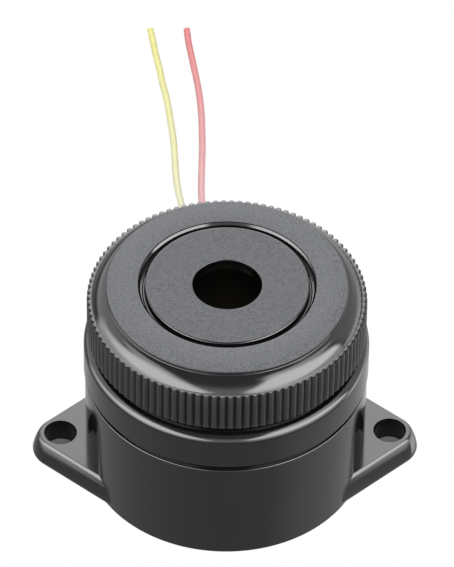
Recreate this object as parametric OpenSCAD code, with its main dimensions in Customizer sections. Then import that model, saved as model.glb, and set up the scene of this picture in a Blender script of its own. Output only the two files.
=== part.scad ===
// Piezo buzzer in a round moulded housing. The base has two mounting ears, the sounder case plugs
// into it, and a knurled ring nut on the case's neck clamps the buzzer in a panel. Inside, a driver
// board works a brass and ceramic diaphragm, and two leads come out through the back wall.
// Millimetres, +Z up. The origin is at the centre of the base's underside, with the ears along X.

/* [Base housing] */
// Outside diameter of the base wall
base_d = 42.4; // [40:0.1:46]
// Height of the base wall up to its rim
base_h = 17.6; // [16:0.1:22]
// Thickness of the base wall
base_wall = 2.05; // [1.5:0.05:2.5]
// Thickness of the base floor
floor_t = 2; // [1.2:0.1:3]
// Chamfer round the foot of the base wall
base_edge = 0.1; // [0.1:0.1:0.8]

/* [Mounting ears] */
// Distance of a mounting hole's centre from the base wall
ear_reach = 3.8; // [3:0.05:6]
// Diameter of a mounting hole
ear_hole_d = 5; // [3:0.1:5.6]
// Diameter of the ear's round tip
ear_tip_d = 8.5; // [7.4:0.1:11]
// Height of an ear above the underside
ear_h = 4; // [3:0.1:6]
// Rounding of the ear's upper edge
ear_edge = 1.9; // [0.5:0.1:2.4]
// Rounding of the ear's lower edge
ear_foot = 0.9; // [0.2:0.1:1.2]
// Depth behind the base wall at which the ear's straight sides run out
ear_inset = 0.7; // [0.2:0.05:2]

/* [Sounder case] */
// How far the collar stands proud of the base wall
collar_proud = 0.2; // [0:0.05:1]
// Height of the collar
collar_h = 6.05; // [4.5:0.05:8]
// Rounding of the collar's upper edge
collar_edge = 1.3; // [0.3:0.1:1.6]
// Depth of the seam under the collar, behind the base wall
seam_depth = 0.7; // [0.3:0.05:1.2]
// Height of the seam between base and collar
seam_h = 1.05; // [0.4:0.05:1.6]
// Height of the spigot that plugs into the base
spigot_h = 3; // [2:0.1:4.5]
// Thickness of the spigot wall
case_wall = 2; // [1.2:0.1:2.5]
// Thickness of the plate under the neck
plate_t = 2.95; // [1.6:0.05:3.2]

/* [Neck] */
// Height of the neck above the collar
neck_h = 10.85; // [9:0.05:14]
// Step from the thread in to the front face's own rim
face_step = 0.3; // [0.1:0.05:0.8]
// Height of the front face's rim
face_h = 1.2; // [0.6:0.1:2]
// Rounding of the front face's edge
face_edge = 0.35; // [0.1:0.05:0.5]
// Thickness of the front wall
front_t = 2; // [1.2:0.1:3]
// Diameter of the sound hole
sound_hole_d = 10.3; // [6:0.1:14]
// Wall of the neck round the sound chamber
neck_wall = 2.4; // [1.8:0.1:4]

/* [Ring nut] */
// How far the ribs stand back from the collar's wall
nut_setback = 0.5; // [0.2:0.05:1.5]
// Wall of the nut between its bore and the tips of the ribs
nut_wall = 8.2; // [5:0.1:9]
// Height of the nut's top above the front face
nut_proud = 0.1; // [0:0.05:0.5]
// Running clearance of the nut on the neck and above the collar
nut_gap = 0.1; // [0.05:0.01:0.2]
// Chamfer at the mouth of the nut's bore
bore_chamfer = 0.55; // [0.2:0.05:1]
// Fall of the top face from its bore to its outer edge
top_fall = 0.45; // [0.2:0.05:1.2]
// Width of the shoulder between the matt top face and the ribs' tips, with its land and ledge
shoulder_w = 2.9; // [2.4:0.05:3.5]
// Height of the step at the top face's outer edge
step_h = 0.6; // [0.3:0.05:0.9]
// Width of the narrow land at the foot of that step
land_w = 0.5; // [0.3:0.05:0.8]
// Width of the ledge on top of the ribs
ledge_w = 0.75; // [0.6:0.05:1.1]
// Fall across the land, and across the ledge
land_fall = 0.15; // [0.05:0.05:0.3]
// Height from the ledge up to the top face's outer edge
shoulder_h = 2.5; // [1.8:0.05:3.5]
// How far the shoulder bulges from a straight chamfer
shoulder_bulge = 0.17; // [0.1:0.01:0.4]
// Number of ribs round the nut
rib_count = 106; // [60:1:140]
// Depth of the grooves between the ribs
rib_depth = 0.5; // [0.2:0.05:0.55]
// Chamfer at the lower end of the ribs
rib_foot = 0.3; // [0.1:0.05:0.6]
// Depth of the plain skirt under the ribs, behind their tips
skirt_depth = 1.4; // [0.9:0.05:2.5]
// Height of the skirt
skirt_h = 1.45; // [1:0.05:3]

/* [Diaphragm] */
// Height of the ring under the plate that the diaphragm lies against
nodal_h = 2.2; // [1.6:0.1:3]
// Wall of that ring
nodal_wall = 1.2; // [0.8:0.1:1.4]
// Space between the diaphragm's seat and the spigot
seat_margin = 1.95; // [1:0.05:3]
// Thickness of the brass disc
brass_t = 0.3; // [0.2:0.05:0.6]
// Width of the bare brass rim round the ceramic disc
ceramic_rim = 4; // [3:0.1:6]
// Thickness of the ceramic disc
ceramic_t = 0.3; // [0.2:0.05:0.6]
// Clearance round the brass disc in its seat
seat_gap = 0.2; // [0.1:0.05:0.4]
// Wall of the round seat that holds the diaphragm
seat_wall = 1.4; // [1:0.1:2]
// Depth of the seat, from the top of the brass disc
seat_h = 1.8; // [1.5:0.1:2.6]
// Width of the silicone bead on the diaphragm's rim
bead_w = 1; // [0.6:0.1:1.4]

/* [Circuit board] */
// Clearance of the board in the base
board_gap = 0.85; // [0.5:0.05:2]
// Thickness of the board
board_t = 1.6; // [0.8:0.1:2]
// Height of the posts under the board
post_h = 4.4; // [3:0.1:5.5]
// Diameter of a post
post_d = 3.6; // [3:0.1:4.5]
// Diameter of the stake that holds the board on its post
stake_d = 1.6; // [1:0.1:2]
// Diameter of the stake's melted head
stake_head_d = 2.6; // [2.2:0.1:3.2]
// Height of the stake's melted head
stake_head_h = 0.7; // [0.4:0.1:1]

/* [Driver parts] */
// Diameter of the choke's flanges
choke_d = 9; // [7:0.1:10]
// Height of the choke
choke_h = 8; // [6:0.1:9]
// Thickness of a choke flange
choke_flange = 1.2; // [0.8:0.1:1.6]
// Diameter of the choke's core between the flanges
choke_core_d = 4; // [3:0.1:5]
// Diameter of the choke's winding
winding_d = 7.8; // [6:0.1:8.6]
// Diameter of the transistor's round side
transistor_d = 4.8; // [4:0.1:5.4]
// Height of the transistor's body
transistor_h = 4.8; // [4:0.1:5.4]
// Height of the transistor's body above the board
transistor_lift = 2; // [1:0.1:3]
// Diameter of the capacitor's can
capacitor_d = 5; // [4:0.1:6]
// Height of the capacitor's can
capacitor_h = 7; // [5:0.1:8]
// Diameter of a resistor's body
resistor_d = 2.2; // [1.6:0.1:2.6]
// Length of a resistor's body
resistor_l = 6.2; // [4:0.1:7]
// Diameter of the diode's body
diode_d = 2.6; // [2:0.1:2.8]
// Length of the diode's body
diode_l = 5; // [4:0.1:6.5]
// Distance between the holes of a part that lies on the board
axial_pitch = 10; // [9:0.1:11]
// Diameter of the parts' wire legs
leg_d = 0.5; // [0.4:0.05:0.7]
// Distance between the transistor's legs
leg_pitch = 1.4; // [1.3:0.05:1.8]
// Height of a solder joint under the board
solder_h = 1; // [0.6:0.1:1.4]

/* [Leads] */
// Diameter of a lead over its covering
lead_d = 1.1; // [0.9:0.05:1.3]
// Distance between the two lead holes in the back wall
lead_spacing = 2.2; // [2:0.1:4]
// Bend radius of a lead's tail, at its centre line
lead_bend = 2; // [1.6:0.1:2.6]
// Straight rise of a lead's tail above the board
lead_rise = 0.6; // [0.3:0.1:1.2]
// Diameter of the thin wires to the diaphragm
piezo_wire_d = 0.6; // [0.4:0.05:0.8]
// Clearance of a lead, leg or stake in its hole
hole_gap = 0.1; // [0.05:0.01:0.2]
// Clearance of the spigot in the base
fit_gap = 0.1; // [0.05:0.01:0.2]

/* [Hidden] */
$fn = 96;

// Overrun of a cut past the face it opens
overrun = 0.5;

// Base and ears
base_r = base_d / 2;
room_r = base_r - base_wall;
ear_x = base_r + ear_reach;
ear_tip_r = ear_tip_d / 2;
ear_slant = asin((base_r - ear_inset - ear_tip_r) / ear_x);
ear_side_l = ear_x * cos(ear_slant);

// Heights of the case, from the base's rim upwards
collar_z = base_h + seam_h;
collar_top = collar_z + collar_h;
plate_z = collar_top - plate_t;
face_z = collar_top + neck_h;
chamber_top = face_z - front_t;
spigot_z = base_h - spigot_h;
// Radii of the case, from the base's wall inwards, with the nut between collar and neck
collar_r = base_r + collar_proud;
seam_r = base_r - seam_depth;
nut_r = collar_r - nut_setback;
bore_r = nut_r - nut_wall;
thread_r = bore_r - nut_gap;
chamber_r = thread_r - neck_wall;
spigot_r = room_r - fit_gap;
seat_r = spigot_r - case_wall - seat_margin - seat_wall;
brass_top = plate_z - nodal_h;
seat_z = brass_top - seat_h;

// Ring nut
nut_z = collar_top + nut_gap;
nut_top = face_z + nut_proud;
top_r = nut_r - shoulder_w;
skirt_r = nut_r - skirt_depth;
top_edge_z = nut_top - top_fall;
rib_z = nut_z + skirt_h;
// Corners of the shoulder: foot of the step, outer edge of the land, inner edge of the ledge
step_foot = [top_r, top_edge_z - step_h];
land_edge = step_foot + [land_w, -land_fall];
ledge_root = [nut_r - ledge_w, top_edge_z - shoulder_h];
rib_top_z = ledge_root[1] - land_fall;
// The shoulder's arc: its chord, radius and centre
shoulder_chord = ledge_root - land_edge;
shoulder_half = norm(shoulder_chord) / 2;
shoulder_r = (shoulder_half * shoulder_half / shoulder_bulge + shoulder_bulge) / 2;
shoulder_out = [-shoulder_chord[1], shoulder_chord[0]] / norm(shoulder_chord);
shoulder_centre = land_edge + shoulder_chord / 2 - shoulder_out * (shoulder_r - shoulder_bulge);
// Where a groove's floor ends, and where a rib's tip starts and ends, in one pitch
rib_shares = [0.26, 0.42, 0.84];

// Diaphragm and its bead
brass_r = seat_r - seat_gap;
ceramic_r = brass_r - ceramic_rim;
brass_z = brass_top - brass_t;
ceramic_z = brass_z - ceramic_t;
bead_h = seat_h - brass_t;
dot_r = 2 * piezo_wire_d;
dot_h = piezo_wire_d;

// Circuit board
board_r = room_r - board_gap;
board_z = floor_t + post_h;
board_top = board_z + board_t;
post_ring_share = 0.82;
post_turn = 30;
post_count = 3;

// Places of the driver parts on the board, as shares of its radius
choke_share = [-0.41, -0.36];
capacitor_share = [0.43, -0.22];
transistor_share = [0.27, -0.62];
diode_share = [0, 0.09];
resistor_shares = [[0, 0.28], [0, 0.46]];
rim_wire_share = [-0.62, 0.08];
centre_wire_share = [0.6, 0.1];
lead_hole_share = 0.82;
// Half spacings of the choke's and capacitor's legs, as shares of their diameters
choke_leg_share = 0.3;
capacitor_leg_share = 0.25;
// Rounding of the can's upper edge, as a share of its diameter
capacitor_edge_share = 0.1;
// How much of the transistor's round is left behind its flat, as a share of its radius
transistor_flat_share = 0.4;
choke_at = board_r * choke_share;
capacitor_at = board_r * capacitor_share;
transistor_at = board_r * transistor_share;
diode_at = board_r * diode_share;
resistors_at = board_r * resistor_shares;
rim_wire_at = board_r * rim_wire_share;
centre_wire_at = board_r * centre_wire_share;
lead_hole_y = board_r * lead_hole_share;
choke_legs = [for (s = [-1, 1]) choke_at + [s * choke_leg_share * choke_d, 0]];
capacitor_legs = [for (s = [-1, 1]) capacitor_at + [0, s * capacitor_leg_share * capacitor_d]];
transistor_legs = [for (s = [-1, 0, 1]) transistor_at + [s * leg_pitch, 0]];
axial_legs = [for (at = concat([diode_at], resistors_at), s = [-1, 1]) at + [s * axial_pitch / 2, 0]];
leg_places = concat(choke_legs, capacitor_legs, transistor_legs, axial_legs);
lead_places = [for (s = [-1, 1]) [s * lead_spacing / 2, lead_hole_y]];
wire_places = [rim_wire_at, centre_wire_at];

// Leads
lead_z = board_top + lead_rise + lead_bend;
dot_rim_r = (ceramic_r + brass_r - bead_w) / 2;
wire_run = 3 * piezo_wire_d;
tail_steps = 4;
cord_sides = 8;

// Routes of the two leads: straight out of the wall, down to the floor and back along it
route_red = [
    [1.1, 21.2, 10.6], [1.1, 24, 10.6], [1.1, 26.5, 10.2], [1.1, 29, 9.1], [1, 31.5, 7.4], [0.8, 34, 5.4],
    [0.5, 36.5, 3.6], [0.1, 39, 2.2], [-0.4, 41.5, 1.2], [-1, 44, 0.8], [-1.6, 46.5, 0.6], [-2.1, 49, 0.6],
    [-2.5, 51.5, 0.6], [-2.7, 54, 0.6], [-2.7, 57, 0.6], [-2.6, 60, 0.6], [-2.5, 63, 0.6], [-2.4, 66, 0.6],
    [-2.4, 69, 0.6], [-2.4, 72, 0.6], [-2.5, 75, 0.6], [-2.7, 78, 0.6], [-3, 81, 0.6], [-3.4, 84, 0.6],
    [-3.8, 87, 0.6], [-4.2, 90, 0.6], [-4.5, 93.5, 0.6]];
route_yellow = [
    [-1.1, 21.2, 10.6], [-1.1, 24, 10.6], [-1.1, 26.5, 10.2], [-1.2, 29, 9.1], [-1.4, 31.5, 7.4],
    [-1.7, 34, 5.4], [-2.2, 36.5, 3.6], [-2.8, 39, 2.2], [-3.4, 41.5, 1.2], [-4, 44, 0.8], [-4.6, 46.5, 0.6],
    [-5.2, 49, 0.6], [-5.7, 51.5, 0.6], [-6.1, 54, 0.6], [-6.5, 57, 0.6], [-6.7, 60, 0.6], [-6.8, 63, 0.6],
    [-6.9, 66, 0.6], [-7.1, 69, 0.6], [-7.4, 72, 0.6], [-7.7, 75, 0.6], [-8.1, 78, 0.6], [-8.6, 81, 0.6],
    [-9, 84, 0.6], [-9.5, 87, 0.6], [-9.9, 90, 0.6], [-10.4, 93.5, 0.6]];

// Sections and sweeps

// Half section of a ring from radius a to b, between two heights
module band(a, b, low, high) {
    translate([a, low]) square([b - a, high - low]);
}

// Half section of a disc whose upper edge is rounded
module rounded_section(r, h, edge) {
    square([r - edge, h]);
    square([r, h - edge]);
    translate([r - edge, h - edge]) circle(r = edge);
}

// Direction of a route at one of its points
function heading(route, i) =
    let (d = route[min(i + 1, len(route) - 1)] - route[max(i - 1, 0)]) d / norm(d);

// Corners of the tube's section at one point of a route that never runs along X
function tube_ring(route, i, r) =
    let (
        ahead = heading(route, i),
        up = cross([1, 0, 0], ahead),
        upward = up / norm(up),
        sideways = cross(ahead, upward))
    [for (k = [0 : cord_sides - 1])
        let (a = 360 * k / cord_sides) route[i] + r * (cos(a) * upward + sin(a) * sideways)];

// Round tube swept along the points of a route
module tube(route, d) {
    last = len(route) - 1;
    points = [for (i = [0 : last]) each tube_ring(route, i, d / 2)];
    sides = [for (i = [0 : last - 1], k = [0 : cord_sides - 1])
        let (n = (k + 1) % cord_sides, low = i * cord_sides, high = low + cord_sides)
        each [[low + k, low + n, high + k], [low + n, high + n, high + k]]];
    start_cap = [for (k = [cord_sides - 1 : -1 : 0]) k];
    end_cap = [for (k = [0 : cord_sides - 1]) last * cord_sides + k];
    polyhedron(points, concat([start_cap], sides, [end_cap]));
}

// Base housing

// Half section of an ear, with a large rounding above and a small one below
module ear_section() {
    difference() {
        rounded_section(ear_tip_r, ear_h, ear_edge);
        translate([ear_tip_r - ear_foot, 0])
            difference() {
                translate([0, -overrun]) square([ear_foot + overrun, ear_foot + overrun]);
                translate([0, ear_foot]) circle(r = ear_foot);
            }
    }
}

// One straight, round-edged side of an ear, from its tip to the base
module ear_side() {
    translate([ear_x, 0, 0])
        rotate([90, 0, 90 - ear_slant])
            translate([0, 0, -ear_side_l])
                linear_extrude(ear_side_l) ear_section();
}

// One ear: its round tip, its two sides, and the flat between them, which laps over both sides
module ear() {
    lap = (ear_tip_r - ear_edge) / 2;
    root = [ear_x * pow(sin(ear_slant), 2), ear_side_l * sin(ear_slant)]
        + lap * [sin(ear_slant), cos(ear_slant)];
    translate([ear_x, 0, 0])
        rotate([0, 0, ear_slant - 90])
            rotate_extrude(angle = 180 - 2 * ear_slant) ear_section();
    ear_side();
    mirror([0, 1, 0]) ear_side();
    linear_extrude(ear_h) polygon([[ear_x, 0], root, [root[0], -root[1]]]);
}

// Post with the stake that was melted over the board
module post() {
    translate([0, 0, floor_t]) cylinder(d = post_d, h = post_h);
    translate([0, 0, floor_t]) cylinder(d = stake_d, h = post_h + board_t + stake_head_h);
    translate([0, 0, board_top]) cylinder(d = stake_head_d, h = stake_head_h);
}

module place_posts() {
    for (i = [0 : post_count - 1])
        rotate([0, 0, post_turn + 360 * i / post_count])
            translate([board_r * post_ring_share, 0, 0]) children();
}

module base_housing() {
    color("#2f2f31") {
        difference() {
            union() {
                rotate_extrude()
                    polygon([[0, 0], [base_r - base_edge, 0], [base_r, base_edge], [base_r, base_h], [0, base_h]]);
                ear();
                mirror([1, 0, 0]) ear();
            }
            translate([0, 0, floor_t]) cylinder(r = room_r, h = base_h);
            for (s = [-1, 1])
                translate([s * ear_x, 0, -overrun]) cylinder(d = ear_hole_d, h = ear_h + 2 * overrun);
            for (at = lead_places)
                translate([at[0], room_r - base_wall, lead_z])
                    rotate([-90, 0, 0]) cylinder(d = lead_d + 2 * hole_gap, h = 3 * base_wall);
        }
        place_posts() post();
    }
}

// Sounder case

module case_section() {
    difference() {
        union() {
            band(0, spigot_r, spigot_z, base_h);
            band(0, seam_r, base_h, collar_z);
            translate([0, collar_z]) rounded_section(collar_r, collar_h, collar_edge);
            band(0, thread_r, collar_z, face_z - face_h);
            translate([0, collar_z])
                rounded_section(thread_r - face_step, face_z - collar_z, face_edge);
        }
        band(0, spigot_r - case_wall, spigot_z - overrun, plate_z);
        band(0, chamber_r, plate_z - overrun, chamber_top);
        band(0, sound_hole_d / 2, chamber_top - overrun, face_z + overrun);
    }
    band(chamber_r, chamber_r + nodal_wall, brass_top, plate_z);
    band(seat_r, seat_r + seat_wall, seat_z, plate_z);
}

module sounder_case() {
    color("#313133") rotate_extrude() case_section();
}

// Ring nut

module nut_section() {
    polygon([
        [bore_r, nut_z], [skirt_r, nut_z], [skirt_r, rib_z], [nut_r - rib_foot, rib_z],
        [nut_r, rib_z + rib_foot], [nut_r, rib_top_z], ledge_root, land_edge, step_foot, [top_r, top_edge_z],
        [bore_r + bore_chamfer, nut_top], [bore_r, nut_top - bore_chamfer]]);
    intersection() {
        translate(shoulder_centre) circle(r = shoulder_r);
        polygon([land_edge, ledge_root, [ledge_root[0], land_edge[1]]]);
    }
}

// Outline of the knurl: one groove and one rib for each pitch, with the rib's tip outside the blank
module knurl_outline() {
    groove_r = nut_r - rib_depth;
    tip_r = nut_r + rib_depth;
    function at(i, share, r) = r * [cos(360 * (i + share) / rib_count), sin(360 * (i + share) / rib_count)];
    polygon([for (i = [0 : rib_count - 1])
        each [at(i, 0, groove_r), at(i, rib_shares[0], groove_r),
              at(i, rib_shares[1], tip_r), at(i, rib_shares[2], tip_r)]]);
}

module ring_nut() {
    color("#3a3a3c")
        intersection() {
            rotate_extrude() nut_section();
            translate([0, 0, nut_z - overrun]) linear_extrude(nut_top - nut_z + 2 * overrun) knurl_outline();
        }
}

// Diaphragm

module brass_diaphragm() {
    color("#c8a24a") translate([0, 0, brass_z]) cylinder(r = brass_r, h = brass_t);
}

module ceramic_disc() {
    color("#d9d4c4") translate([0, 0, ceramic_z]) cylinder(r = ceramic_r, h = ceramic_t);
}

// Bead with a slanted inner face, under the brass and against the seat's wall
module silicone_bead() {
    color("#e6e6e2")
        rotate_extrude()
            polygon([[seat_r - bead_w, brass_z], [seat_r, brass_z], [seat_r, brass_z - bead_h]]);
}

// Circuit board and driver parts

module circuit_board() {
    color("#2f6b45")
        translate([0, 0, board_z])
            difference() {
                cylinder(r = board_r, h = board_t);
                translate([0, 0, -overrun]) {
                    through = board_t + 2 * overrun;
                    for (at = leg_places) translate(at) cylinder(d = leg_d + 2 * hole_gap, h = through);
                    for (at = wire_places) translate(at) cylinder(d = piezo_wire_d + 2 * hole_gap, h = through);
                    for (at = lead_places) translate(at) cylinder(d = lead_d + 2 * hole_gap, h = through);
                    place_posts() cylinder(d = stake_d + 2 * hole_gap, h = through);
                }
            }
}

// Straight leg from the board's underside up to a height above the board
module leg(at, rise) {
    translate([at[0], at[1], board_z]) cylinder(d = leg_d, h = board_t + rise);
}

module choke_core() {
    color("#4a4a4d") {
        translate([choke_at[0], choke_at[1], board_top]) {
            cylinder(d = choke_d, h = choke_flange);
            cylinder(d = choke_core_d, h = choke_h);
            translate([0, 0, choke_h - choke_flange]) cylinder(d = choke_d, h = choke_flange);
        }
        for (at = choke_legs) leg(at, choke_flange / 2);
    }
}

module choke_winding() {
    color("#a8622c")
        translate([choke_at[0], choke_at[1], board_top + choke_flange])
            rotate_extrude() band(choke_core_d / 2, winding_d / 2, 0, choke_h - 2 * choke_flange);
}

module transistor() {
    color("#1f1f21") {
        translate([transistor_at[0], transistor_at[1], board_top + transistor_lift])
            difference() {
                cylinder(d = transistor_d, h = transistor_h);
                translate([-transistor_d, -transistor_d * (1 + transistor_flat_share / 2), -overrun])
                    cube([2 * transistor_d, transistor_d, transistor_h + 2 * overrun]);
            }
        for (at = transistor_legs) leg(at, transistor_lift + leg_d);
    }
}

module capacitor() {
    color("#2d3f66") {
        translate([capacitor_at[0], capacitor_at[1], board_top])
            rotate_extrude() rounded_section(capacitor_d / 2, capacitor_h, capacitor_edge_share * capacitor_d);
        for (at = capacitor_legs) leg(at, leg_d);
    }
}

// Part that lies along X on the board, with a leg bent down at each end
module axial_part(at, d, l) {
    lift = d / 2;
    translate([at[0], at[1], board_top + lift])
        rotate([0, 90, 0]) {
            cylinder(d = d, h = l, center = true);
            cylinder(d = leg_d, h = axial_pitch, center = true);
        }
    for (s = [-1, 1]) {
        foot = at + [s * axial_pitch / 2, 0];
        leg(foot, lift);
        translate([foot[0], foot[1], board_top + lift]) sphere(d = leg_d);
    }
}

module diode() {
    color("#303033") axial_part(diode_at, diode_d, diode_l);
}

module resistors() {
    color("#c9a87a") for (at = resistors_at) axial_part(at, resistor_d, resistor_l);
}

// Cone of solder under a hole of the board
module solder_joint(at, d) {
    translate([at[0], at[1], board_z - solder_h]) cylinder(d1 = d, d2 = 2 * d, h = solder_h);
}

module solder_joints() {
    color("#b9bcc0") {
        for (at = leg_places) solder_joint(at, leg_d);
        for (at = wire_places) solder_joint(at, piezo_wire_d);
        for (at = lead_places) solder_joint(at, piezo_wire_d);
    }
}

// Wires and leads

// Dot of solder under the diaphragm, at a point and height
module solder_dot(at, z) {
    translate([at[0], at[1], z - dot_h]) cylinder(r1 = dot_r / 2, r2 = dot_r, h = dot_h);
}

module piezo_solder_dots() {
    color("#b9bcc0") {
        solder_dot([0, 0], ceramic_z);
        solder_dot([-dot_rim_r, 0], brass_z);
    }
}

// Route of a thin wire: up from the board, over in a slant and up to its dot
function wire_route(from, to, top) = [
    [from[0], from[1], board_z],
    [from[0], from[1], board_top + wire_run],
    [(3 * from[0] + to[0]) / 4, (3 * from[1] + to[1]) / 4, (board_top + 2 * top) / 3],
    [to[0], to[1], top - wire_run / 2],
    [to[0], to[1], top]];

module piezo_wire_centre() {
    color("#b33a32") tube(wire_route(centre_wire_at, [0, 0], ceramic_z - dot_h), piezo_wire_d);
}

module piezo_wire_rim() {
    color("#3b3b3e") tube(wire_route(rim_wire_at, [-dot_rim_r, 0], brass_z - dot_h), piezo_wire_d);
}

// Route of a lead's inner end: up through the board, round a bend and out through the wall
function tail_route(x) = concat(
    [[x, lead_hole_y, board_z]],
    [for (k = [0 : tail_steps])
        let (a = 90 * k / tail_steps)
        [x, lead_hole_y + lead_bend * (1 - cos(a)), board_top + lead_rise + lead_bend * sin(a)]],
    [[x, room_r, lead_z], [x, base_r, lead_z]]);

module lead_tail_red() {
    color("#d9564e") tube(tail_route(lead_spacing / 2), lead_d);
}

module lead_tail_yellow() {
    color("#e2d24f") tube(tail_route(-lead_spacing / 2), lead_d);
}

module lead_red() {
    color("#d9564e") tube(route_red, lead_d);
}

module lead_yellow() {
    color("#e2d24f") tube(route_yellow, lead_d);
}

base_housing();
sounder_case();
ring_nut();
brass_diaphragm();
ceramic_disc();
silicone_bead();
circuit_board();
choke_core();
choke_winding();
transistor();
capacitor();
diode();
resistors();
solder_joints();
piezo_solder_dots();
piezo_wire_centre();
piezo_wire_rim();
lead_tail_red();
lead_tail_yellow();
lead_red();
lead_yellow();
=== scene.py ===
# %% [markdown]
# # A piezo buzzer with a knurled ring nut
#
# The buzzer is a black moulded cup with two ears, a sounder case that plugs into it, and a ring nut
# that is turned by hand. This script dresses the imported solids: each visible moulding is made again
# as a fine mesh with real edge roundings, the leads become curves, and the hidden driver parts keep
# their solids and get materials. Everything is in metres, in the frame of the solids, and sizes are
# written in millimetres where a heading or a name says so.

# %% Load the solids and keep their box
import math

import bmesh
import bpy
from mathutils import Matrix, Vector


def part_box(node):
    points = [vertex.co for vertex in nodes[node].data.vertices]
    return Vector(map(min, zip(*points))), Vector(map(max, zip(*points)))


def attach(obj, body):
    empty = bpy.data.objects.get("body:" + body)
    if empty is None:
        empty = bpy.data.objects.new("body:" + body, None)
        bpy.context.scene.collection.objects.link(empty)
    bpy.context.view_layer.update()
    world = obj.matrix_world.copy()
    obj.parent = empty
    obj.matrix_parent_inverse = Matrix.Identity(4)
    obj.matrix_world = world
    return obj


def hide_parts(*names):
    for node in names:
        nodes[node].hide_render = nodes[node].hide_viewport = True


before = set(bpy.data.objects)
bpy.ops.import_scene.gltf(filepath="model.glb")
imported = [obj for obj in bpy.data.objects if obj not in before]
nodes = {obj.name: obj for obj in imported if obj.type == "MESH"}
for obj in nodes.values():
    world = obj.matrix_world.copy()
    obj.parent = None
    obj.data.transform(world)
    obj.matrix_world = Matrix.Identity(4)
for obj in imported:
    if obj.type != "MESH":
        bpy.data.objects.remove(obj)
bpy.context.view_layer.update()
scene = bpy.context.scene
MM = 0.001

# %% [markdown]
# ## The camera
#
# The photograph looks down at about 45 degrees from some way off, so the lens is long. The camera is
# set by its direction, its roll and the point that lies in the middle of the picture, because those
# are the values that can be read off a photograph. Blender measures the sensor along the longer side
# of the picture, which is the upright one here.

# %% Camera
picture_h = 567
focal_px = 6585.5
sensor_mm = 36
view_azimuth = math.radians(-1.63)
view_elevation = math.radians(44.95)
view_roll = math.radians(0.82)
view_distance = 992.5 * MM
view_target = Vector((0.25, 10.42, 25.33)) * MM
view_end = 100


def direction(azimuth, elevation):
    """Unit vector from the object towards a place round it. Azimuth 0 is the front, and right is positive."""
    flat = math.cos(elevation)
    return Vector((math.sin(azimuth) * flat, -math.cos(azimuth) * flat, math.sin(elevation)))


def facing(place, target, roll=0.0):
    """Matrix of a camera or lamp at a place, looking at a target."""
    turn = (target - place).to_track_quat("-Z", "Y").to_matrix().to_4x4()
    return Matrix.Translation(place) @ turn @ Matrix.Rotation(roll, 4, "Z")


camera = bpy.data.objects.new("camera", bpy.data.cameras.new("camera"))
scene.collection.objects.link(camera)
camera.data.sensor_width = sensor_mm
camera.data.lens = focal_px * sensor_mm / picture_h
camera.data.clip_end = view_end
view_place = view_target + direction(view_azimuth, view_elevation) * view_distance
camera.matrix_world = facing(view_place, view_target, view_roll)
scene.camera = camera
print("lens in mm:", round(camera.data.lens, 1))

# %% [markdown]
# ## Tools for materials
#
# Colours are written as sRGB hex values, as a colour picker shows them, and one function makes them
# linear. One more function adds a node, sets its properties, and sets or links its inputs. It serves
# the materials, the Geometry Nodes tree and the sky alike.


# %% Colour and node helpers
def linear(hex_colour):
    """Linear RGBA of an sRGB hex value."""
    channels = [int(hex_colour[i : i + 2], 16) / 255 for i in (1, 3, 5)]
    return [c / 12.92 if c <= 0.04045 else ((c + 0.055) / 1.055) ** 2.4 for c in channels] + [1.0]


def add(tree, kind, inputs=None, **settings):
    """Add a node with its settings. Each input is given a value or linked to an output."""
    made = tree.nodes.new(kind)
    for name, value in settings.items():
        setattr(made, name, value)
    for socket, value in (inputs or {}).items():
        if isinstance(value, bpy.types.NodeSocket):
            tree.links.new(value, made.inputs[socket])
        else:
            made.inputs[socket].default_value = value
    return made


def start(name):
    """A new material with an empty node tree, and its object coordinates."""
    material = bpy.data.materials.new(name)
    material.use_nodes = True
    tree = material.node_tree
    tree.nodes.clear()
    place = add(tree, "ShaderNodeTexCoord").outputs["Object"]
    return material, tree, place


def close(tree, shader_inputs):
    """End a material in one Principled shader."""
    shader = add(tree, "ShaderNodeBsdfPrincipled", shader_inputs)
    add(tree, "ShaderNodeOutputMaterial", {"Surface": shader.outputs["BSDF"]})


def grains_of(size_mm):
    """Scale of a texture whose grains are this many millimetres across."""
    return 1 / (size_mm * MM)


print("linear value of a middle grey:", round(linear("#808080")[0], 3))

# %% [markdown]
# ## Black ABS, in four finishes
#
# The housing is injection-moulded ABS coloured with carbon black. The steel of the mould gives it its
# finish: polished where the walls and shoulders are glossy, satin on the ribs of the knurl, which no
# polishing stick reaches, and spark-eroded where the front faces are matt, a little finer on the case
# than on the nut. Spark erosion leaves tiny craters, so a matt face is a bump with a grain of a few
# tenths of a millimetre and a little scatter in its roughness. The polished walls are never quite even:
# they carry faint mottling from the flow of the plastic.

# %% Black ABS
abs_ior = 1.53
mottle_mm = 4
ripple_mm = 0.5
crater_mm = 0.3


def smooth_abs(name, least_rough, most_rough):
    """Black ABS from a smooth mould: dark, with reflections as soft as its roughness makes them."""
    material, tree, place = start(name)
    mottle = add(tree, "ShaderNodeTexNoise", {"Vector": place, "Scale": grains_of(mottle_mm), "Detail": 3.0})
    rough = add(
        tree,
        "ShaderNodeMapRange",
        {"Value": mottle.outputs["Fac"], "To Min": least_rough, "To Max": most_rough},
    )
    ripple = add(tree, "ShaderNodeTexNoise", {"Vector": place, "Scale": grains_of(ripple_mm), "Detail": 2.0})
    bump = add(
        tree,
        "ShaderNodeBump",
        {"Height": ripple.outputs["Fac"], "Strength": 0.05, "Distance": 0.02 * MM},
    )
    tint = add(
        tree,
        "ShaderNodeMix",
        {"Factor": mottle.outputs["Fac"], "A": linear("#0c0c0d"), "B": linear("#121213")},
        data_type="RGBA",
    )
    close(
        tree,
        {
            "Base Color": tint.outputs["Result"],
            "Roughness": rough.outputs["Result"],
            "IOR": abs_ior,
            "Normal": bump.outputs["Normal"],
        },
    )
    return material


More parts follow.
